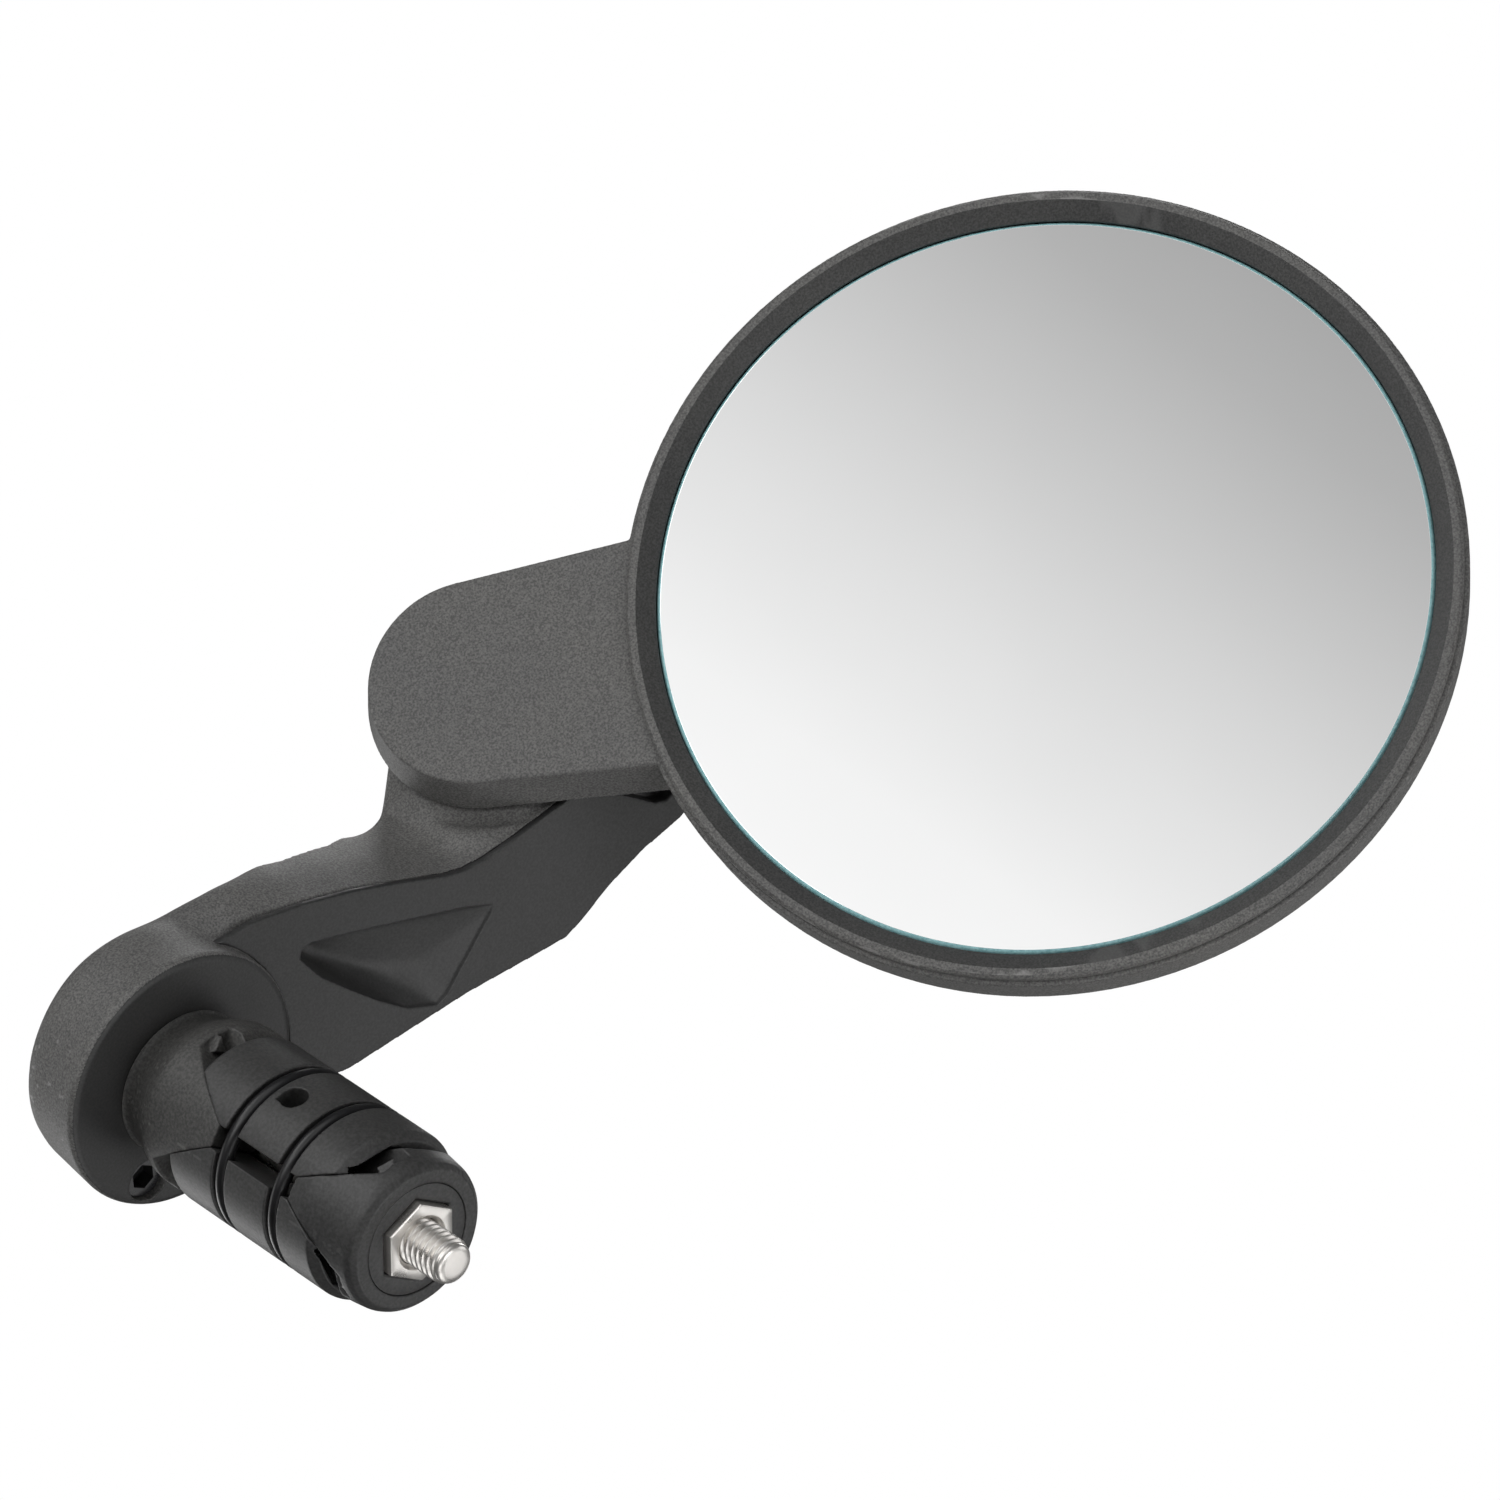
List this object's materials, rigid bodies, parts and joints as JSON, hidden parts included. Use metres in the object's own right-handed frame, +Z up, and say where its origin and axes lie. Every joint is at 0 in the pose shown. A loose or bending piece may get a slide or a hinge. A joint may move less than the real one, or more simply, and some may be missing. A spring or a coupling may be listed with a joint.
{
  "type": "bar end mirror",
  "caption": "Round convex mirror on a swinging arm with an expanding plug that clamps in the end of a handlebar.",
  "frame": {"origin": "centre of the hub face that the end of the bar meets, on the plug's axis", "axes": "+X along the plug into the bar, +Z up, -Y towards the rider, whom the mirror faces"},
  "size_m": [0.0958, 0.0541, 0.1525],
  "materials": {
    "grained_plastic": "fine moulded grain, satin black-grey",
    "smooth_plastic": "smooth satin black",
    "rubber": "black rubber",
    "nickel_steel": "nickel plated steel",
    "black_steel": "black oxide steel",
    "friction_plastic": "natural acetal",
    "brass": "turned brass",
    "glass": "clear glass with a ground edge",
    "silver": "silvered mirror coat",
    "foam": "soft foam tape"
  },
  "bodies": {
    "post": {"post": "grained_plastic"},
    "arm": {"arm": "grained_plastic", "arm_cover": "smooth_plastic", "cover_pins": "nickel_steel", "lock_screw": "black_steel", "lock_insert": "brass", "hub_cap": "smooth_plastic", "friction_ring": "friction_plastic", "bolt_washer": "nickel_steel", "pivot_screw": "nickel_steel", "pivot_washer": "nickel_steel", "wave_washer": "nickel_steel", "pivot_cap": "smooth_plastic"},
    "head": {"mirror_housing": "grained_plastic", "bezel_ring": "grained_plastic", "mirror_glass": "glass", "silver_coat": "silver", "foam_pad": "foam", "backing_plate": "smooth_plastic", "pivot_nut": "nickel_steel", "swivel_disc": "friction_plastic"},
    "bolt": {"expander_bolt": "nickel_steel"},
    "wedge": {"end_wedge": "smooth_plastic", "end_insert": "smooth_plastic", "hex_nut": "nickel_steel"},
    "segment_upper": {"segment_upper": "smooth_plastic"},
    "segment_lower": {"segment_lower": "smooth_plastic", "oring_inner": "rubber", "oring_outer": "rubber"}
  },
  "joints": [
    {"name": "arm_swing", "type": "hinge", "parent": "post", "child": "arm", "pos_m": [0, 0, 0], "axis": [1, 0, 0], "continuous": true},
    {"name": "head_swivel", "type": "hinge", "parent": "arm", "child": "head", "pos_m": [-0.0101, 0.006, 0.052], "axis": [0.3502, -0.9367, 0], "range_deg": [-20, 90]},
    {"name": "bolt_turn", "type": "hinge", "parent": "post", "child": "bolt", "pos_m": [0, 0, 0], "axis": [1, 0, 0], "range_deg": [0, 1800]},
    {"name": "wedge_draw", "type": "slide", "parent": "post", "child": "wedge", "axis": [-1, 0, 0], "range_m": [0, 0.004]},
    {"name": "upper_spread", "type": "slide", "parent": "post", "child": "segment_upper", "axis": [-0.866, -0.2192, 0.4494], "range_m": [0, 0.00231]},
    {"name": "lower_spread", "type": "slide", "parent": "segment_upper", "child": "segment_lower", "axis": [0, 0.4384, -0.8988], "range_m": [0, 0.00231], "deforming": ["oring_inner", "oring_outer"]}
  ],
  "couplings": [
    {"joint": "bolt_turn", "follows": "wedge_draw", "rad_per_m": 7853.9},
    {"joint": "upper_spread", "follows": "wedge_draw", "ratio": 0.57734},
    {"joint": "lower_spread", "follows": "wedge_draw", "ratio": 0.57734}
  ]
}
